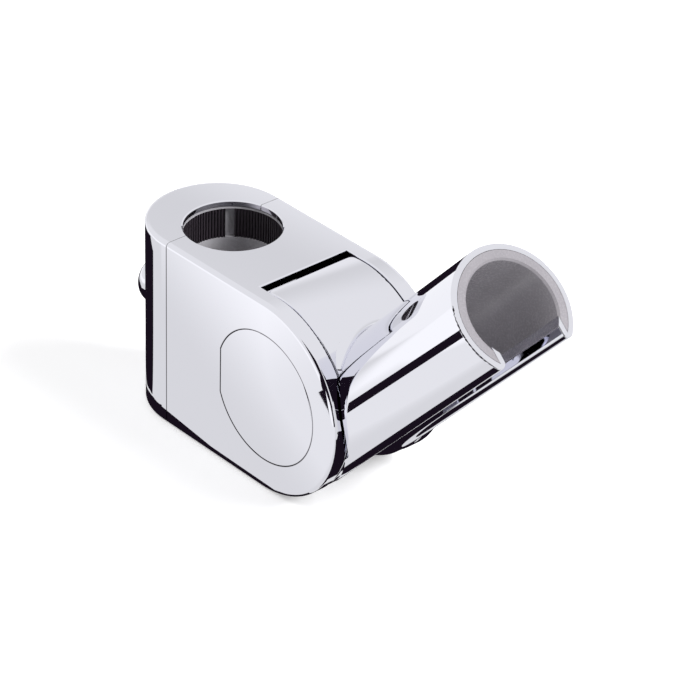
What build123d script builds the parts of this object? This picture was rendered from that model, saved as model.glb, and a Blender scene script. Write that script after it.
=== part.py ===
"""Shower rail slider: a clamped body on a vertical rail, with a tilting hand-shower holder.

Millimetres. The origin is on the rail's axis at mid height, +Z runs up the rail and +X points from the
rail to the holder. Left and right are as seen from in front of the nose, so left is -Y.
"""

import os
from math import cos, hypot, pi, radians, sin, sqrt, tan

from build123d import *

# Rail and its bore
rail_d = 25.0
rail_clearance = 0.25
rim_t = 1.5
rim_chamfer = 0.3
liner_t = 1.45
liner_play = 0.05
liner_end_gap = 0.4
liner_slit_w = 0.8

# Body
body_h = 53.8
body_w = 37.8
body_edge_r = 1.2
seam_x = -3.4
cap_x = -5.4
seam_gap = 0.12
tongue_length = 5.0
tongue_t = 1.6
tongue_h = 7.0
tongue_y = 16.6
tongue_z = 15.0
tongue_play = 0.1

# Ribbed grip rings
ring_h = 8.4
ring_t = 1.0
ring_lip = 0.4
rib_count = 96
rib_depth = 0.35
rib_share = 0.5
slit_w = 2.4
slit_angle = 143.0

# Release button and lock slide
button_z = -2.0
button_r = 7.0
button_out = 8.4
button_dome_r = 4.2
button_wall = 1.6
button_roof_t = 3.2
button_travel = 2.0
button_floor_t = 1.2
stem_r = 2.6
slide_t = 4.4
slide_wall = 2.3
slide_eye_gap = 0.1
screw_r = 1.5
screw_head_r = 2.5
screw_length = 8.0
screw_sink = 0.1
screw_play = 0.05
spring_r = 4.4
spring_wire_d = 0.9
spring_turns = 4.5
spring_play = 0.05

# Fork and tilting joint
pivot_x = 34.1
fork_gap = 28.4
fork_lip_x = 27.3
fork_edge_r = 0.4
drum_inset = 0.2
drum_back_angle = 100.0
drum_front_angle = -83.0
drum_edge_r = 0.4
drum_corner_r = 1.5
drum_hub_r = 14.4
drum_hub_inset = 0.2
rest_tilt = 47.5
tilt_up = 30.0
tilt_down = 45.0
tilt_spare = 1.4
run_gap = 0.3
pivot_play = 0.05

# Side covers, pivot flanges and what draws them together
cover_x = 34.9
cover_r = 18.05
cover_flat = 16.9
cover_t = 1.8
cover_gap = 0.12
cover_edge_r = 0.25
hub_bush_r = 8.5
hub_bush_gap = 4.0
bolt_r = 2.5
bolt_play = 0.2
bolt_head_r = 4.25
bolt_head_h = 3.0
bolt_key_r = 2.2
bolt_key_depth = 1.6
bolt_seat_depth = 4.5
disc_spring_t = 0.6
disc_spring_rise = 0.3
nut_flats = 8.0
nut_h = 4.0
nut_depth = 4.3
nut_play = 0.1
washer_t = 0.8
washer_wall = 5.0

# Holder tube and insert
tube_wall = 1.5
tube_offset = 15.3
tube_mouth = 80.6
tube_nose_gap = 0.6
mouth_edge_r = 0.35
slot_w = 18.6
slot_edge_r = 1.65
lip_t = 1.5
socket_d = 24.6
foot_play = 0.3
foot_bite = 0.7
insert_t = 2.5
insert_play = 0.1
insert_chamfer = 0.5

# Worked out from the sizes above
half_h = body_h / 2
half_w = body_w / 2
nose_r = half_h
bore_r = rail_d / 2 + rail_clearance
seat_r = bore_r + liner_t + liner_play
liner_top = half_h - rim_t - liner_end_gap
slide_r = bore_r + slide_eye_gap + slide_wall
slide_low = button_z - slide_t / 2
slide_high = button_z + slide_t / 2
rear_x = cap_x - half_w
pocket_back_x = -button_travel - slide_r - run_gap
button_floor_x = pocket_back_x - button_floor_t
button_foot_x = button_floor_x - button_travel - run_gap
button_tip_x = rear_x - button_out
button_roof_x = button_tip_x + button_roof_t
stem_seat_x = -button_travel - sqrt(slide_r**2 - stem_r**2)
screw_top_x = -button_travel - (slide_r - slide_wall) - screw_sink
half_fork = fork_gap / 2
half_drum = half_fork - run_gap
drum_r = nose_r - drum_inset
flange_t = half_w - half_fork - cover_t
flange_face = half_fork + flange_t
bolt_seat = flange_face - bolt_seat_depth
bolt_head_y = bolt_seat + disc_spring_rise + disc_spring_t
nut_seat = flange_face - nut_depth
hub_bush_reach = half_fork - hub_bush_gap / 2
washer_inner_r = hub_bush_r + bolt_play
washer_r = washer_inner_r + washer_wall
socket_r = socket_d / 2
tube_seat_r = socket_r + insert_t + insert_play
tube_r = tube_seat_r + tube_wall
foot_bore_r = socket_r + foot_play
lip_half = slot_w / 2 + lip_t
seat_l = nose_r + tube_nose_gap
hands = (("left", -1), ("right", 1))
near = 1e-3

# The tube's direction and the direction across it, both in the XZ plane
along = Vector(cos(radians(rest_tilt)), 0, sin(radians(rest_tilt)))
across = Vector(-sin(radians(rest_tilt)), 0, cos(radians(rest_tilt)))
pivot = Vector(pivot_x, 0, 0)
pivot_plane = Plane(origin=pivot, x_dir=(1, 0, 0), z_dir=(0, -1, 0))
button_plane = Plane(origin=(0, 0, button_z), x_dir=(1, 0, 0), z_dir=(0, -1, 0))
button_axis = Axis((0, 0, button_z), (1, 0, 0))


def tube_plane(length):
    """Plane square to the tube at a length from the pivot: its x is +Y and its y runs across the tube."""
    return Plane(origin=pivot + along * length - across * tube_offset, x_dir=(0, 1, 0), z_dir=along)


def side_plane(side, reach, x):
    """Plane square to the pivot axis that faces outwards on one side of the fork."""
    return Plane(origin=(x, side * reach, 0), x_dir=(1, 0, 0), z_dir=(0, side, 0))


def rear_plane(x):
    """Plane square to the button's axis, facing to the rear."""
    return Plane(origin=(x, 0, button_z), x_dir=(0, 1, 0), z_dir=(-1, 0, 0))


def draw_d_shape(grow):
    """Disc with a short flat on the rail side."""
    Circle(cover_r + grow)
    with Locations((-cover_flat - grow, 0)):
        Rectangle(cover_r, 3 * cover_r, align=(Align.MAX, Align.CENTER), mode=Mode.SUBTRACT)


def draw_open_side(width, mode):
    """Strip from the tube's centre out past its open side."""
    Rectangle(width, 2 * tube_r, align=(Align.CENTER, Align.MAX), mode=mode)


def draw_screw(grow, reach):
    """Half outline of the sunk screw, with the space in front of its head if reach is more than 0."""
    taper = screw_head_r - screw_r
    head = screw_head_r + grow
    shank = screw_r + grow
    end = screw_top_x - screw_length - grow
    Polygon((screw_top_x + reach, 0), (screw_top_x + reach, head), (screw_top_x, head),
            (screw_top_x - taper, shank), (end, shank), (end, 0), align=None)


def slot_corners(section):
    """Outer corners of a slotted tube section, where the slot leaves the tube."""
    return section.vertices().filter_by(lambda v: v.Y < 0 and abs(hypot(v.X, v.Y) - tube_r) < near)


def is_fork_edge(edge):
    """Outer edge of the fork's gap: along the inside of the cheeks, and across the top and bottom lips."""
    spot = edge @ 0.5
    outside = abs(hypot(max(spot.X - pivot_x, 0), spot.Z) - half_h) < near
    cheek = abs(abs(spot.Y) - half_fork) < near
    lip = abs(spot.Y) < near and abs(spot.X - fork_lip_x) < near
    return outside and (cheek or lip)


def is_wing_edge(edge):
    """Round edge of the drum's skin where the slot runs out between its two wings."""
    spot = edge @ 0.5
    round_skin = abs(hypot(spot.X - pivot_x, spot.Z) - drum_r) < near
    return round_skin and abs(abs(spot.Y) - slot_w / 2) < near


def rim_edges(builder):
    """Edges of the rail bore on the top and bottom faces."""
    ends = builder.edges().filter_by(lambda e: abs(abs(e.center().Z) - half_h) < near)
    return ends.filter_by(GeomType.CIRCLE).filter_by(lambda e: abs(e.radius - bore_r) < near)


def write(builder, name):
    """Label a finished sub-part and write it to its own file."""
    builder.part.label = name
    export_step(builder.part, f"parts/{name}.step")


os.makedirs("parts", exist_ok=True)

# Space taken out of the body and the cap: rail bore, liner seat and the lock slide's pocket
with BuildPart() as rail_space:
    with BuildSketch(Plane.XY.offset(-half_h)):
        Circle(bore_r)
    extrude(amount=body_h)
    with BuildSketch(Plane.XY.offset(rim_t - half_h)):
        Circle(seat_r)
    extrude(amount=body_h - 2 * rim_t)
    with BuildSketch(Plane.XY.offset(slide_low - run_gap)):
        SlotCenterToCenter(2 * button_travel, 2 * (slide_r + run_gap))
    extrude(amount=slide_t + 2 * run_gap)

# Main body: a slab with a half-round nose, forked for the drum
with BuildPart() as main_body:
    with BuildSketch(Plane.XZ):
        with Locations((seam_x, 0)):
            Rectangle(pivot_x - seam_x, body_h, align=(Align.MIN, Align.CENTER))
        with Locations((pivot_x, 0)):
            Circle(nose_r)
    extrude(amount=half_w, both=True)
    cheek_edges = main_body.faces().filter_by(Axis.Y).edges()
    fillet(cheek_edges.filter_by(lambda e: e.center().X > seam_x + body_edge_r), radius=body_edge_r)
    with BuildSketch(pivot_plane):
        Circle(drum_r + run_gap)
        with Locations((fork_lip_x - pivot_x, 0)):
            Rectangle(2 * nose_r, 3 * nose_r, align=(Align.MIN, Align.CENTER))
        rise = 2 * nose_r * tan(radians(180 - drum_back_angle - tilt_up - tilt_spare))
        drop = 2 * nose_r * tan(radians(180 + drum_front_angle - tilt_down - tilt_spare))
        Polygon((0, 0), (-2 * nose_r, rise), (-2 * nose_r, -drop), align=None, mode=Mode.SUBTRACT)
        Circle(drum_hub_r + run_gap)
    extrude(amount=half_fork, both=True, mode=Mode.SUBTRACT)
    fillet(main_body.edges().filter_by(is_fork_edge), radius=fork_edge_r)
    add(rail_space.part, mode=Mode.SUBTRACT)
    for hand, side in hands:
        with BuildSketch(side_plane(side, half_fork, cover_x)):
            draw_d_shape(cover_gap)
        extrude(amount=half_w, mode=Mode.SUBTRACT)
    with BuildSketch(Plane.YZ.offset(seam_x)):
        with GridLocations(2 * tongue_y, 2 * tongue_z, 2, 2):
            Rectangle(tongue_t + 2 * tongue_play, tongue_h + 2 * tongue_play)
    extrude(amount=tongue_length + tongue_play, mode=Mode.SUBTRACT)
    chamfer(rim_edges(main_body), length=rim_chamfer)
write(main_body, "main_body")

# Rear cap: half cylinder behind the seam, with tongues that plug into the body and the button's hole
with BuildPart() as rear_cap:
    with BuildSketch(Plane.XY.offset(-half_h)):
        with Locations((cap_x, 0)):
            Circle(half_w)
            Rectangle(half_w, body_w, align=(Align.MIN, Align.CENTER))
        with Locations((seam_x - seam_gap, 0)):
            Rectangle(body_w, 2 * body_w, align=(Align.MIN, Align.CENTER), mode=Mode.SUBTRACT)
    extrude(amount=body_h)
    cap_edges = rear_cap.faces().filter_by(Axis.Z).edges()
    fillet(cap_edges.filter_by(lambda e: e.center().X < seam_x - seam_gap - near), radius=body_edge_r)
    add(rail_space.part, mode=Mode.SUBTRACT)
    with BuildSketch(rear_plane(button_floor_x)):
        Circle(button_r + run_gap)
    extrude(amount=half_w, mode=Mode.SUBTRACT)
    with BuildSketch(rear_plane(stem_seat_x + button_travel + run_gap)):
        Circle(stem_r + run_gap)
    extrude(amount=half_w, mode=Mode.SUBTRACT)
    with BuildSketch(Plane.YZ.offset(seam_x - seam_gap)):
        with GridLocations(2 * tongue_y, 2 * tongue_z, 2, 2):
            Rectangle(tongue_t, tongue_h)
    extrude(amount=tongue_length + seam_gap)
    chamfer(rim_edges(rear_cap), length=rim_chamfer)
write(rear_cap, "rear_cap")

# Liner sleeves and ribbed grip rings at both ends of the bore, each split so that it can be sprung in
for place, end, inner in (("upper", 1, slide_high + run_gap), ("lower", -1, slide_low - run_gap)):
    outer = end * liner_top
    ring_end = outer - end * ring_lip
    with BuildPart() as liner:
        with BuildSketch(Plane.XY.offset(inner)):
            Circle(bore_r + liner_t)
            Circle(bore_r, mode=Mode.SUBTRACT)
            with Locations(Location((0, 0), slit_angle + 180)):
                Rectangle(2 * seat_r, liner_slit_w, align=(Align.MIN, Align.CENTER), mode=Mode.SUBTRACT)
        extrude(amount=outer - inner)
        with BuildSketch(Plane.XY.offset(ring_end)):
            Circle(bore_r + ring_t + liner_play)
        extrude(amount=-end * (ring_h + liner_play), mode=Mode.SUBTRACT)
    write(liner, f"{place}_liner")
    with BuildPart() as ring:
        with BuildSketch(Plane.XY.offset(ring_end)):
            Circle(bore_r + ring_t)
            Circle(bore_r, mode=Mode.SUBTRACT)
            with PolarLocations(bore_r, rib_count):
                Rectangle(2 * rib_depth, rib_share * 2 * pi * bore_r / rib_count, mode=Mode.SUBTRACT)
            with Locations(Location((0, 0), slit_angle)):
                Rectangle(2 * seat_r, slit_w, align=(Align.MIN, Align.CENTER), mode=Mode.SUBTRACT)
        extrude(amount=-end * ring_h)
    write(ring, f"{place}_grip_ring")

# Lock slide: an eye plate round the rail, with a flat for the button's stem and a sunk screw hole
with BuildPart() as lock_slide:
    with BuildSketch(Plane.XY.offset(slide_low)):
        with Locations((-button_travel / 2, 0)):
            SlotCenterToCenter(button_travel, 2 * slide_r)
            SlotCenterToCenter(button_travel, 2 * (slide_r - slide_wall), mode=Mode.SUBTRACT)
    extrude(amount=slide_t)
    with BuildSketch(rear_plane(stem_seat_x)):
        Rectangle(2 * stem_r, 2 * slide_t)
    extrude(amount=slide_wall, mode=Mode.SUBTRACT)
    with BuildSketch(button_plane):
        draw_screw(screw_play, slide_wall)
    revolve(axis=button_axis, mode=Mode.SUBTRACT)
write(lock_slide, "lock_slide")

# Release button: a domed cap with a stem that reaches the slide
with BuildPart() as release_button:
    with BuildSketch(rear_plane(button_foot_x)):
        Circle(button_r)
    extrude(amount=button_foot_x - button_tip_x)
    fillet(release_button.edges().sort_by(Axis.X)[0], radius=button_dome_r)
    with BuildSketch(rear_plane(button_foot_x)):
        Circle(button_r - button_wall)
    extrude(amount=button_foot_x - button_roof_x, mode=Mode.SUBTRACT)
    with BuildSketch(rear_plane(stem_seat_x)):
        Circle(stem_r)
    extrude(amount=stem_seat_x - button_roof_x)
    with BuildSketch(button_plane):
        draw_screw(screw_play, 0)
    revolve(axis=button_axis, mode=Mode.SUBTRACT)
write(release_button, "release_button")

with BuildPart() as button_screw:
    with BuildSketch(button_plane):
        draw_screw(0, 0)
    revolve(axis=button_axis)
write(button_screw, "button_screw")

with BuildPart() as button_spring:
    spring_end = spring_wire_d / 2 + spring_play
    spring_length = button_floor_x - button_roof_x - 2 * spring_end
    with BuildLine():
        coil = Helix(spring_length / spring_turns, spring_length, spring_r,
                     center=(button_floor_x - spring_end, 0, button_z), direction=(-1, 0, 0))
    with BuildSketch(Plane(origin=coil @ 0, z_dir=coil % 0)):
        Circle(spring_wire_d / 2)
    sweep()
write(button_spring, "button_spring")

# Side covers, pivot flanges and friction washers, one of each on either side
for hand, side in hands:
    with BuildPart() as cover:
        with BuildSketch(side_plane(side, flange_face, cover_x)):
            draw_d_shape(0)
        extrude(amount=cover_t)
        fillet(cover.faces().sort_by(Axis((0, 0, 0), (0, side, 0)))[-1].edges(), radius=cover_edge_r)
    write(cover, f"side_cover_{hand}")
    with BuildPart() as flange:
        with BuildSketch(side_plane(side, half_fork, cover_x)):
            draw_d_shape(0)
        extrude(amount=flange_t)
        with BuildSketch(side_plane(side, half_fork - hub_bush_reach, pivot_x)):
            Circle(hub_bush_r)
        extrude(amount=hub_bush_reach)
        with BuildSketch(side_plane(side, half_fork - hub_bush_reach, pivot_x)):
            Circle(bolt_r + bolt_play)
        extrude(amount=hub_bush_reach + flange_t, mode=Mode.SUBTRACT)
        if hand == "left":
            with BuildSketch(side_plane(side, bolt_seat, pivot_x)):
                Circle(bolt_head_r + bolt_play)
        else:
            with BuildSketch(side_plane(side, nut_seat, pivot_x)):
                RegularPolygon(nut_flats / 2 + nut_play, 6, major_radius=False)
        extrude(amount=half_w, mode=Mode.SUBTRACT)
    write(flange, f"pivot_flange_{hand}")
    with BuildPart() as washer:
        with BuildSketch(side_plane(side, half_fork - washer_t, pivot_x)):
            Circle(washer_r)
            Circle(washer_inner_r, mode=Mode.SUBTRACT)
        extrude(amount=washer_t)
    write(washer, f"friction_washer_{hand}")

# Pivot bolt from the left, with a disc spring under its head and a nut on the right
with BuildPart() as pivot_bolt:
    with BuildSketch(side_plane(-1, bolt_head_y, pivot_x)):
        Circle(bolt_head_r)
    extrude(amount=bolt_head_h)
    with BuildSketch(side_plane(-1, bolt_head_y, pivot_x)):
        Circle(bolt_r)
    extrude(amount=-(bolt_head_y + nut_seat + nut_h))
    with BuildSketch(side_plane(-1, bolt_head_y + bolt_head_h, pivot_x)):
        RegularPolygon(bolt_key_r, 6)
    extrude(amount=-bolt_key_depth, mode=Mode.SUBTRACT)
write(pivot_bolt, "pivot_bolt")

with BuildPart() as disc_spring:
    with BuildSketch(Plane.XY):
        inner = pivot_x + bolt_r + bolt_play
        outer = pivot_x + bolt_head_r
        low = -bolt_seat
        high = -bolt_seat - disc_spring_rise
        Polygon((outer, low), (outer, low - disc_spring_t), (inner, high - disc_spring_t), (inner, high),
                align=None)
    revolve(axis=Axis(pivot, (0, 1, 0)))
write(disc_spring, "disc_spring")

with BuildPart() as pivot_nut:
    with BuildSketch(side_plane(1, nut_seat, pivot_x)):
        RegularPolygon(nut_flats / 2, 6, major_radius=False)
        Circle(bolt_r, mode=Mode.SUBTRACT)
    extrude(amount=nut_h)
write(pivot_nut, "pivot_nut")

# Drum: a sector of a cylinder with the pivot's hub, slotted between two wings that carry the tube's slot
# on round the pivot, and hollowed where the tube passes through it
with BuildPart() as drum:
    with BuildSketch(pivot_plane):
        with BuildLine():
            skin = CenterArc((0, 0), drum_r, drum_front_angle, drum_back_angle - drum_front_angle)
            Line(skin @ 1, (0, 0))
            Line((0, 0), skin @ 0)
        make_face()
    extrude(amount=half_drum, both=True)
    back_face = drum.faces().filter_by(GeomType.PLANE).sort_by(Axis.X)[0]
    fillet(back_face.edges().filter_by(Axis.Y, reverse=True), radius=drum_corner_r)
    skin_face = drum.faces().filter_by(GeomType.CYLINDER).sort_by(SortBy.AREA)[-1]
    fillet(skin_face.edges(), radius=drum_edge_r)
    with BuildSketch(tube_plane(-drum_r)):
        with Locations((0, tube_offset)):
            Rectangle(slot_w, 2 * drum_r, align=(Align.CENTER, Align.MAX))
    extrude(amount=2 * drum_r, mode=Mode.SUBTRACT)
    fillet(drum.edges().filter_by(is_wing_edge), radius=slot_edge_r)
    with BuildSketch(tube_plane(0)):
        Circle(foot_bore_r + foot_bite)
        draw_open_side(slot_w + 2 * foot_bite, Mode.ADD)
    extrude(amount=tube_mouth, mode=Mode.SUBTRACT)
    with BuildSketch(pivot_plane):
        Circle(drum_hub_r)
    extrude(amount=half_drum - drum_hub_inset, both=True)

# Holder: a slotted tube that grows out of the drum, with lips along its slot that keep the insert in
with BuildPart() as holder:
    with BuildSketch(tube_plane(seat_l)) as tube_section:
        Circle(tube_r)
        Circle(tube_seat_r, mode=Mode.SUBTRACT)
        draw_open_side(2 * lip_half, Mode.ADD)
        Circle(tube_r, mode=Mode.INTERSECT)
        Circle(socket_r, mode=Mode.SUBTRACT)
        draw_open_side(slot_w, Mode.SUBTRACT)
        fillet(slot_corners(tube_section), radius=slot_edge_r)
    extrude(amount=tube_mouth - seat_l)
    mouth = holder.faces().sort_by(Axis(pivot, along))[-1]
    fillet(mouth.edges().filter_by(GeomType.CIRCLE).sort_by(SortBy.RADIUS)[-1], radius=mouth_edge_r)
    with BuildSketch(tube_plane(0)) as foot_section:
        Circle(tube_r)
        Circle(foot_bore_r, mode=Mode.SUBTRACT)
        draw_open_side(slot_w, Mode.SUBTRACT)
        fillet(slot_corners(foot_section), radius=slot_edge_r)
    extrude(amount=seat_l)
    for hand, side in hands:
        with BuildSketch(side_plane(side, half_drum, pivot_x)):
            Circle(nose_r + tube_nose_gap)
        extrude(amount=tube_r, mode=Mode.SUBTRACT)
    add(drum.part)
    with BuildSketch(pivot_plane):
        Circle(hub_bush_r + pivot_play)
    extrude(amount=half_drum, both=True, mode=Mode.SUBTRACT)
    for hand, side in hands:
        with BuildSketch(side_plane(side, half_fork - washer_t - run_gap, pivot_x)):
            Circle(washer_r + run_gap)
        extrude(amount=tube_r, mode=Mode.SUBTRACT)
write(holder, "holder")

# Insert: a plastic sleeve that slides into the tube behind the lips of its slot
with BuildPart() as holder_insert:
    with BuildSketch(tube_plane(seat_l + insert_play)):
        Circle(tube_seat_r - insert_play)
        Circle(socket_r, mode=Mode.SUBTRACT)
        draw_open_side(2 * (lip_half + insert_play), Mode.SUBTRACT)
    extrude(amount=tube_mouth - seat_l - insert_play)
    mouth = holder_insert.faces().sort_by(Axis(pivot, along))[-1]
    chamfer(mouth.edges().filter_by(GeomType.CIRCLE).sort_by(SortBy.RADIUS)[0], length=insert_chamfer)
write(holder_insert, "holder_insert")
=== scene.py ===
from math import asin, cos, radians, sin, sqrt

import bpy
from mathutils import Matrix, Vector


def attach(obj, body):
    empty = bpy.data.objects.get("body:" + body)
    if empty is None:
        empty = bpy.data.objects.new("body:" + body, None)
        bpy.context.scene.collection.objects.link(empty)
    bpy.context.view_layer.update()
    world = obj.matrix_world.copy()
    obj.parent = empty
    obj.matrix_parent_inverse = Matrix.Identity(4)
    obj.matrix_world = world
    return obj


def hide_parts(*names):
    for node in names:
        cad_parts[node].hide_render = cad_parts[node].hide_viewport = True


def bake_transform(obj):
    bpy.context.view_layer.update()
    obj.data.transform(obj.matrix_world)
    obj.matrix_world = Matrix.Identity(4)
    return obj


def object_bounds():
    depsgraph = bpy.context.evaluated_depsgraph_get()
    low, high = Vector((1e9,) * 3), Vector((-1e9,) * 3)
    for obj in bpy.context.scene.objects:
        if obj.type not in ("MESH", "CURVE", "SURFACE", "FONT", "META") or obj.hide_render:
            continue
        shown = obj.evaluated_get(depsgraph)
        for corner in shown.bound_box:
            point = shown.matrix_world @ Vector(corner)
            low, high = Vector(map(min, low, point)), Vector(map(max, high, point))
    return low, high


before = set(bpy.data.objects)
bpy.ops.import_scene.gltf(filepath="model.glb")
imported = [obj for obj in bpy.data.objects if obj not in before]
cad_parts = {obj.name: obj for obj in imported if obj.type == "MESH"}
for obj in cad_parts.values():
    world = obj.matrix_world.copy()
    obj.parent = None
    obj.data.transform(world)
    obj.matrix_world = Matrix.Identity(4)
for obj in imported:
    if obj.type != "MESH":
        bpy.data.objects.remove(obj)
cad_low, cad_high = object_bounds()
mm = 0.001

# Camera: the photograph's view, a long lens from the front left and a little above
view_azimuth = radians(47.117)
view_elevation = radians(31.953)
view_roll = radians(1.938)
view_distance = 788.443 * mm
view_target = Vector((45.122, 0, 11.511)) * mm
view_lens = 164.18
view_sensor = 36

camera = bpy.data.objects.new("camera", bpy.data.cameras.new("camera"))
bpy.context.scene.collection.objects.link(camera)
camera.data.sensor_width = view_sensor
camera.data.lens = view_lens
camera.data.clip_start = 0.05
camera.data.clip_end = 50
back = Vector((
    sin(view_azimuth) * cos(view_elevation),
    -cos(view_azimuth) * cos(view_elevation),
    sin(view_elevation),
))
level = Vector((cos(view_azimuth), sin(view_azimuth), 0))
upright = back.cross(level)
right = level * cos(view_roll) + upright * sin(view_roll)
up = upright * cos(view_roll) - level * sin(view_roll)
camera.matrix_world = Matrix.Translation(view_target + back * view_distance) @ Matrix(
    (right, up, back)
).transposed().to_4x4()
bpy.context.scene.camera = camera
bpy.context.scene.view_settings.view_transform = "Standard"


# Materials
noise_low = 0.3
noise_high = 0.7


def new_material(name):
    """An empty node material, with its shader and the object's own coordinates."""
    material = bpy.data.materials.new(name)
    material.use_nodes = True
    nodes = material.node_tree.nodes
    nodes.clear()
    output = nodes.new("ShaderNodeOutputMaterial")
    shader = nodes.new("ShaderNodeBsdfPrincipled")
    place = nodes.new("ShaderNodeTexCoord")
    material.node_tree.links.new(shader.outputs["BSDF"], output.inputs["Surface"])
    return material, nodes, material.node_tree.links, shader, place


def add_noise(nodes, links, place, scale, detail, stretch=(1, 1, 1)):
    """Noise in object space, with cells of about 1 / scale metres, drawn out by stretch."""
    mapping = nodes.new("ShaderNodeMapping")
    mapping.inputs["Scale"].default_value = stretch
    noise = nodes.new("ShaderNodeTexNoise")
    noise.inputs["Scale"].default_value = scale
    noise.inputs["Detail"].default_value = detail
    links.new(place.outputs["Object"], mapping.inputs["Vector"])
    links.new(mapping.outputs["Vector"], noise.inputs["Vector"])
    return noise


def spread(nodes, links, source, socket, low, high):
    """Maps a noise to a range of values on a shader socket."""
    values = nodes.new("ShaderNodeMapRange")
    values.inputs["From Min"].default_value = noise_low
    values.inputs["From Max"].default_value = noise_high
    values.inputs["To Min"].default_value = low
    values.inputs["To Max"].default_value = high
    links.new(source.outputs["Fac"], values.inputs["Value"])
    links.new(values.outputs["Result"], socket)


def add_bump(nodes, links, shader, source, height):
    """Fine relief on the surface, height in metres."""
    bump = nodes.new("ShaderNodeBump")
    bump.inputs["Strength"].default_value = 1
    bump.inputs["Distance"].default_value = height
    links.new(source.outputs["Fac"], bump.inputs["Height"])
    links.new(bump.outputs["Normal"], shader.inputs["Normal"])


def tint(nodes, links, source, socket, low, high):
    """Maps a noise to a range between two colours on a shader socket."""
    ramp = nodes.new("ShaderNodeValToRGB")
    ramp.color_ramp.elements[0].position = noise_low
    ramp.color_ramp.elements[0].color = (*low, 1)
    ramp.color_ramp.elements[1].position = noise_high
    ramp.color_ramp.elements[1].color = (*high, 1)
    links.new(source.outputs["Fac"], ramp.inputs["Fac"])
    links.new(ramp.outputs["Color"], socket)


def add_value(nodes, links, operation, first, second):
    """One step of arithmetic on sockets or numbers."""
    step = nodes.new("ShaderNodeMath")
    step.operation = operation
    for socket, value in zip(step.inputs, (first, second)):
        if isinstance(value, (int, float)):
            socket.default_value = value
        else:
            links.new(value, socket)
    return step.outputs["Value"]


def shade_joints(nodes, links, place, socket):
    """Paints shade into the plating along the rear cap's seam and round the side covers, below the top
    edge: a painted shadow line in the joints.
    """
    axes = nodes.new("ShaderNodeSeparateXYZ")
    links.new(place.outputs["Object"], axes.inputs["Vector"])
    x, z = axes.outputs["X"], axes.outputs["Z"]
    across = add_value(nodes, links, "SUBTRACT", x, cover_x * mm)
    squares = add_value(
        nodes, links, "ADD",
        add_value(nodes, links, "MULTIPLY", across, across),
        add_value(nodes, links, "MULTIPLY", z, z),
    )
    reach = add_value(nodes, links, "SQRT", squares, 0)
    rim = add_value(nodes, links, "SUBTRACT", reach, cover_r * mm)
    flat = add_value(nodes, links, "SUBTRACT", (cover_x - cover_flat) * mm, x)
    cover = add_value(nodes, links, "ABSOLUTE", add_value(nodes, links, "MAXIMUM", rim, flat), 0)
    from_seam = add_value(nodes, links, "SUBTRACT", x, seam_x * mm)
    seam = add_value(nodes, links, "ABSOLUTE", from_seam, 0)
    above = add_value(nodes, links, "SUBTRACT", z, side_top * mm)
    nearest = add_value(nodes, links, "MINIMUM", cover, seam)
    nearest = add_value(nodes, links, "MAXIMUM", nearest, above)
    shade = nodes.new("ShaderNodeValToRGB")
    shade.color_ramp.elements[0].position = joint_core
    shade.color_ramp.elements[0].color = joint_shade_colour
    shade.color_ramp.elements[1].position = 1
    shade.color_ramp.elements[1].color = chrome_colour
    links.new(add_value(nodes, links, "DIVIDE", nearest, joint_w * mm), shade.inputs["Fac"])
    links.new(shade.outputs["Color"], socket)


def make_chrome(name, has_joint_shade):
    """Polished plating with faint haze and waviness, and, when asked, painted shade along the joints."""
    material, nodes, links, shader, place = new_material(name)
    shader.inputs["Base Color"].default_value = chrome_colour
    shader.inputs["Metallic"].default_value = 1
    haze = add_noise(nodes, links, place, 90, 3)
    spread(nodes, links, haze, shader.inputs["Roughness"], 0.015, 0.035)
    wave = add_noise(nodes, links, place, 45, 1)
    add_bump(nodes, links, shader, wave, 4e-6)
    if has_joint_shade:
        shade_joints(nodes, links, place, shader.inputs["Base Color"])
    return material


def make_plastic(name, low, high, rough, grain, height):
    """Moulded plastic: a slight drift of colour, with a fine spark-eroded texture."""
    material, nodes, links, shader, place = new_material(name)
    shader.inputs["IOR"].default_value = 1.48
    drift = add_noise(nodes, links, place, 120, 2)
    tint(nodes, links, drift, shader.inputs["Base Color"], low, high)
    skin = add_noise(nodes, links, place, grain, 3)
    spread(nodes, links, skin, shader.inputs["Roughness"], rough - skin_range, rough + skin_range)
    add_bump(nodes, links, shader, skin, height)
    return material


def make_turned(name, low, high, rough, stretch):
    """Machined metal: fine tool marks drawn out round or along the part."""
    material, nodes, links, shader, place = new_material(name)
    shader.inputs["Metallic"].default_value = 1
    marks = add_noise(nodes, links, place, 900, 4, stretch)
    tint(nodes, links, marks, shader.inputs["Base Color"], low, high)
    spread(nodes, links, marks, shader.inputs["Roughness"], rough - marks_range, rough + marks_range)
    add_bump(nodes, links, shader, marks, 6e-6)
    return material


chrome_colour = (0.845, 0.847, 0.912, 1)
# Joints of the body, in millimetres: the rear cap's seam, and the side covers with their flat
seam_x = -3.46
cover_x = 34.9
cover_r = 18.11
cover_flat = 16.96
side_top = 25.9
# Painted shade along the joints: its width in millimetres, where its dark core ends, and its colour
joint_w = 0.24
joint_core = 0.35
joint_shade_colour = (0.16, 0.15, 0.17, 1)
# How far roughness drifts in plastic and in machined metal
skin_range = 0.06
marks_range = 0.08
# Slot: name, darkest and lightest colour, roughness, grain per metre, relief in metres
plastics = {
    "insert_plastic": ("grey_insert", (0.275, 0.262, 0.284), (0.305, 0.290, 0.314), 0.26, 1800, 5e-6),
    "liner_plastic": ("pale_liner", (0.44, 0.43, 0.46), (0.49, 0.48, 0.51), 0.42, 1800, 6e-6),
    "grip_rubber": ("dark_grip", (0.030, 0.024, 0.031), (0.042, 0.034, 0.043), 0.5, 2600, 9e-6),
    "slide_plastic": ("grey_slide", (0.36, 0.36, 0.38), (0.41, 0.41, 0.43), 0.45, 1800, 6e-6),
    "washer_plastic": ("natural_washer", (0.72, 0.71, 0.66), (0.78, 0.77, 0.72), 0.5, 1500, 5e-6),
}
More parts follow.
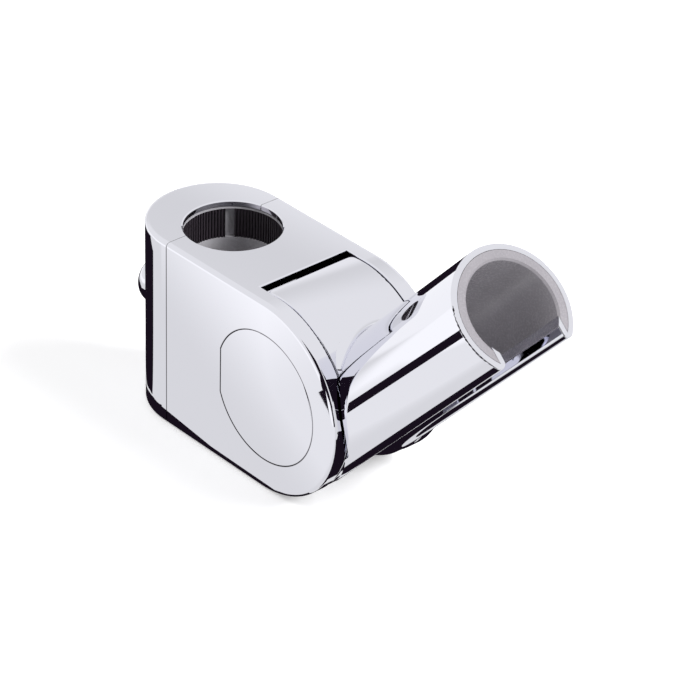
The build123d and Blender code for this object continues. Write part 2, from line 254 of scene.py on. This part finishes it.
# Slot: name, darkest and lightest colour, roughness, stretch of the tool marks
metals = {
    "flange_brass": ("turned_brass", (0.66, 0.50, 0.24), (0.74, 0.58, 0.30), 0.28, (1, 0.08, 1)),
    "steel": ("plain_steel", (0.50, 0.50, 0.51), (0.60, 0.60, 0.61), 0.30, (1, 0.1, 1)),
}
finishes = {"chrome": make_chrome("polished_chrome", False)}
finishes |= {slot: make_plastic(*values) for slot, values in plastics.items()}
finishes |= {slot: make_turned(*values) for slot, values in metals.items()}
# Chrome with painted shade along its joints, for the body, the rear cap and the side covers
joint_shaded_chrome = make_chrome("joint_shaded_chrome", True)
jointed = ("main_body", "rear_cap", "side_cover_left", "side_cover_right")
for name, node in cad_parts.items():
    for node_slot in node.material_slots:
        finish = finishes[node_slot.material.name.split(".")[0]]
        node_slot.material = joint_shaded_chrome if name in jointed else finish


# A soft blend in the crease between the holder's drum and tube
def blend_arcs():
    """Arcs of a ball that rolls along the crease, smaller at the ends.

    Each has the ball's centre, its radius, and the ways from the drum's skin round to the tube's.
    """
    along = Vector((cos(rest_tilt), 0, sin(rest_tilt)))
    across = Vector((-sin(rest_tilt), 0, cos(rest_tilt)))
    widest = asin(blend_half / (tube_r + blend_end_r))
    for step in range(blend_steps + 1):
        share = 2 * step / blend_steps - 1
        ball_r = blend_r + (blend_end_r - blend_r) * share**4
        turn = widest * share
        outward = across * cos(turn) + Vector((0, sin(turn), 0))
        rise = (tube_r + ball_r) * cos(turn) - tube_offset
        spoke = along * sqrt((drum_r + ball_r)**2 - rise**2) + across * rise
        centre = Vector((pivot_x, (tube_r + ball_r) * sin(turn), 0)) + spoke
        to_drum = -spoke.normalized()
        ways = [to_drum.slerp(-outward, part / arc_steps) for part in range(arc_steps + 1)]
        yield centre, ball_r, ways


def add_blend():
    """The blend as a closed piece, smooth where it shows, with its inner edge sunk in the metal."""
    points, normals, faces = [], [], []
    for centre, ball_r, ways in blend_arcs():
        corner = centre + (ways[0] + ways[-1]).normalized() * ball_r * corner_depth
        points += [centre + way * ball_r for way in ways]
        normals += [-way for way in ways]
        points += [centre + ways[-1] * ball_r, corner, corner, centre + ways[0] * ball_r]
        normals += [Vector()] * 4
    row = arc_steps + 5
    for step in range(blend_steps):
        for part in (*range(arc_steps), arc_steps + 1, arc_steps + 3):
            first = step * row + part
            faces.append((first, first + 1, first + 1 + row, first + row))
    for start in (0, blend_steps * row):
        faces.append([len(points) + part for part in range(arc_steps + 2)])
        points += points[start:start + arc_steps + 1] + [points[start + arc_steps + 2]]
        normals += [Vector()] * (arc_steps + 2)
    faces[-2].reverse()
    mesh = bpy.data.meshes.new("crease_blend")
    mesh.from_pydata([point * mm for point in points], [], faces)
    mesh.polygons.foreach_set("use_smooth", [True] * len(faces))
    mesh.normals_split_custom_set_from_vertices(normals)
    mesh.materials.append(finishes["chrome"])
    blend = bpy.data.objects.new("crease_blend", mesh)
    bpy.context.scene.collection.objects.link(blend)
    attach(blend, "holder")


# The holder's sizes, and the blend's, in millimetres
pivot_x = 34.1
rest_tilt = radians(47.5)
drum_r = 26.7
tube_r = 16.4
tube_offset = 15.3
blend_r = 2.7
blend_end_r = 1.0
blend_half = 13.7
corner_depth = 1.5
blend_steps = 64
arc_steps = 12
add_blend()


# The button's spring, copied as a mesh of its own in place of the imported part
def add_spring():
    """The spring's own mesh, copied from the imported part, which is then hidden."""
    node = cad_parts["button_spring"]
    spring = bpy.data.objects.new("pressed_spring", node.data.copy())
    spring.matrix_world = node.matrix_world
    bpy.context.scene.collection.objects.link(spring)
    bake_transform(spring)
    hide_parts("button_spring")


add_spring()


# Stage: a pale floor under the object, soft light, and cards that only the chrome mirrors
def add_sheet(name, corners, material):
    """A flat stage sheet with its corners in millimetres."""
    mesh = bpy.data.meshes.new(name)
    mesh.from_pydata([Vector(corner) * mm for corner in corners], [], [range(len(corners))])
    mesh.materials.append(material)
    sheet = bpy.data.objects.new(name, mesh)
    bpy.context.scene.collection.objects.link(sheet)
    return sheet


def add_card(name, corners, material):
    """A studio card that is seen only as a reflection."""
    card = add_sheet(name, corners, material)
    card.visible_camera = False
    card.visible_diffuse = False
    card.visible_shadow = False
    card.visible_transmission = False
    return card


def facing_corners(centre, normal, width, height):
    """Corners of an upright card that faces along a horizontal or tilted normal."""
    centre = Vector(centre)
    normal = Vector(normal).normalized()
    across = Vector((0, 0, 1)).cross(normal).normalized() * width / 2
    rise = normal.cross(across).normalized() * height / 2
    return [centre - across - rise, centre + across - rise, centre + across + rise, centre - across + rise]


def new_glow(name):
    """A material with only an emission shader."""
    material = bpy.data.materials.new(name)
    material.use_nodes = True
    nodes = material.node_tree.nodes
    nodes.clear()
    output = nodes.new("ShaderNodeOutputMaterial")
    glow = nodes.new("ShaderNodeEmission")
    material.node_tree.links.new(glow.outputs["Emission"], output.inputs["Surface"])
    return material, nodes, material.node_tree.links, glow


def make_black():
    """Black card."""
    material, _, _, glow = new_glow("black_card")
    glow.inputs["Color"].default_value = (0.010, 0.006, 0.012, 1)
    return material


def add_reach(nodes, links, place, direction, offset):
    """How far a point lies along a direction, plus an offset in millimetres."""
    reach = nodes.new("ShaderNodeVectorMath")
    reach.operation = "DOT_PRODUCT"
    reach.inputs[1].default_value = direction
    links.new(place.outputs["Object"], reach.inputs[0])
    return add_value(nodes, links, "ADD", reach.outputs["Value"], offset * mm)


def add_fade(nodes, links, source, start, end, low, high):
    """Smooth change of strength between two distances in millimetres."""
    fade = nodes.new("ShaderNodeMapRange")
    fade.interpolation_type = "SMOOTHSTEP"
    fade.inputs["From Min"].default_value = start * mm
    fade.inputs["From Max"].default_value = end * mm
    fade.inputs["To Min"].default_value = low
    fade.inputs["To Max"].default_value = high
    links.new(source, fade.inputs["Value"])
    return fade.outputs["Result"]


def make_mirrored_paper():
    """What the chrome sees of the floor: shaded near the object, and brighter further out."""
    material, nodes, links, glow = new_glow("mirrored_paper")
    place = nodes.new("ShaderNodeTexCoord")
    rear_way = add_reach(nodes, links, place, (0.35, -1, 0), 0.25)
    front_way = add_reach(nodes, links, place, (-0.35, -1, 0), 31.75)
    left_way = add_value(nodes, links, "MINIMUM", rear_way, front_way)
    near = add_fade(nodes, links, left_way, 36, 70, 0.79, paper_bright)
    behind = add_reach(nodes, links, place, (-1, 0, 0), 0)
    far = add_fade(nodes, links, behind, 90, 170, paper_none, 1.03)
    ahead = add_reach(nodes, links, place, (1, 0, 0), 0)
    front = add_fade(nodes, links, ahead, -40, 10, paper_bright, 0.91)
    beside = add_reach(nodes, links, place, (0, -1, 0), 0)
    outer = add_fade(nodes, links, beside, 70, 95, paper_none, paper_bright)
    ceiling = add_value(nodes, links, "MAXIMUM", front, outer)
    paper = add_value(nodes, links, "MAXIMUM", near, far)
    links.new(add_value(nodes, links, "MINIMUM", paper, ceiling), glow.inputs["Strength"])
    return material


def make_top_fade():
    """Sheet that shades the top face, from dark to bright, and fades into the surround at its upper end."""
    material, nodes, links, glow = new_glow("top_fade")
    place = nodes.new("ShaderNodeTexCoord")
    way = add_reach(nodes, links, place, (-0.028, 0.58, -0.814), 0)
    lower_part = add_fade(nodes, links, way, -31, -10, top_dark, 0.92)
    upper_part = add_fade(nodes, links, way, -80, -31, surround_shown, top_dark)
    links.new(add_value(nodes, links, "MAXIMUM", lower_part, upper_part), glow.inputs["Strength"])
    return material


def make_floor():
    """Matt white paper that is lifted to white where it is lit and keeps the object's shadow."""
    material = bpy.data.materials.new("pale_paper")
    material.use_nodes = True
    nodes = material.node_tree.nodes
    links = material.node_tree.links
    nodes.clear()
    output = nodes.new("ShaderNodeOutputMaterial")
    paper = nodes.new("ShaderNodeBsdfDiffuse")
    paper.inputs["Color"].default_value = (0.86, 0.86, 0.87, 1)
    lift = nodes.new("ShaderNodeEmission")
    both = nodes.new("ShaderNodeAddShader")
    path = nodes.new("ShaderNodeLightPath")
    share = add_value(nodes, links, "MULTIPLY", path.outputs["Is Camera Ray"], floor_lift)
    links.new(share, lift.inputs["Strength"])
    links.new(paper.outputs["BSDF"], both.inputs[0])
    links.new(lift.outputs["Emission"], both.inputs[1])
    links.new(both.outputs["Shader"], output.inputs["Surface"])
    return material


def light_world():
    """An even white surround: white to the camera, and softer where it is mirrored or lights the object."""
    world = bpy.data.worlds.new("surround")
    world.use_nodes = True
    nodes = world.node_tree.nodes
    links = world.node_tree.links
    nodes.clear()
    output = nodes.new("ShaderNodeOutputWorld")
    path = nodes.new("ShaderNodeLightPath")
    shades = []
    for strength in (surround_light, surround_shown, 1):
        shade = nodes.new("ShaderNodeBackground")
        shade.inputs["Color"].default_value = (1, 1, 1, 1)
        shade.inputs["Strength"].default_value = strength
        shades.append(shade.outputs["Background"])
    surface = shades[0]
    for ray, shade in zip(("Is Glossy Ray", "Is Camera Ray"), shades[1:]):
        choice = nodes.new("ShaderNodeMixShader")
        links.new(path.outputs[ray], choice.inputs["Fac"])
        links.new(surface, choice.inputs[1])
        links.new(shade, choice.inputs[2])
        surface = choice.outputs["Shader"]
    links.new(surface, output.inputs["Surface"])
    bpy.context.scene.world = world


def add_lamp(name, place, target, size, power):
    """A soft square lamp that isn't itself seen in the chrome."""
    light = bpy.data.lights.new(name, "AREA")
    light.shape = "SQUARE"
    light.size = size
    light.energy = power
    lamp = bpy.data.objects.new(name, light)
    bpy.context.scene.collection.objects.link(lamp)
    lamp.location = place
    lamp.rotation_euler = (Vector(target) - Vector(place)).to_track_quat("-Z", "Y").to_euler()
    lamp.visible_glossy = False
    return lamp


def on_floor(outline, lift):
    """Corners of a flat card, in millimetres, a little above the floor."""
    return [(x, y, floor_z + lift) for x, y in outline]


floor_z = cad_low.z / mm - 0.2
floor_half = 6000
floor_square = (
    (-floor_half, -floor_half), (floor_half, -floor_half),
    (floor_half, floor_half), (-floor_half, floor_half),
)
floor_lift = 0.40
surround_light = 0.37
surround_shown = 0.88
paper_bright = 1.10
paper_none = 0.6
top_dark = 0.75
card_lift = 0.05

paper = add_sheet("floor", on_floor(floor_square, 0), make_floor())
paper.visible_glossy = False
light_world()
add_lamp("key_lamp", (-0.7, -0.9, 1.5), (0.03, 0, 0), 1.0, 12)
add_lamp("mouth_lamp", (1.1, 0.6, 1.1), (0.08, 0, 0.04), 0.7, 31)

black = make_black()
# The floor as the chrome mirrors it
add_card("mirrored_floor", on_floor(floor_square, 0), make_mirrored_paper())
# A sheet behind and above the body, mirrored by its top face
add_card("top_sheet", facing_corners((-52, 55, 145), (0.654, -0.568, -0.5), 240, 230), make_top_fade())
# The dark side of the room, round the camera
add_card("dark_side", facing_corners((720, -672, 400), (-0.68, 0.63, -0.38), 1000, 1300), black)
# A dark strip beside the tube
add_card("tube_strip", [
    (27.8, -43.4, -11.8), (75, -46.6, 32.9), (81.7, -48, 27.1), (32.4, -45, -19.3),
], black)
dark_cards = {
    # Painted shade of the floor below the tube: a dark card seen only in the chrome
    "tube_shade": ((53.8, -15.6), (106, -30.2), (112, 25), (58.6, 12)),
    # Ground towards the camera, which shows where the fork meets the tube
    "dark_front": ((150, -55), (115, -85), (600, -800), (900, -420)),
    # Painted shade under the body: a dark card seen only in the chrome, in place of the contact shadow
    "shade_under_body": (
        (50, -20.6), (58, 45), (-18, 45), (-31, 10), (-31, -1), (-27, -8), (-22.2, -13.6), (-19.8, -17.6),
        (-17, -20.5), (-11.5, -23.2), (12, -21.0),
    ),
    # Ground behind the body
    "dark_ground": (
        (-18.4, -19.9), (-20.8, -17.9), (-23.2, -13.9), (-28, -8.4), (-32, -1), (-32, 11), (-20, 60),
        (-20, 150), (-150, 260), (-320, 165), (-249, 114.5), (-225, 98), (-190, 74), (-90, -41.4),
        (-59.6, -32.3),
    ),
}
for name, outline in dark_cards.items():
    add_card(name, on_floor(outline, card_lift), black)
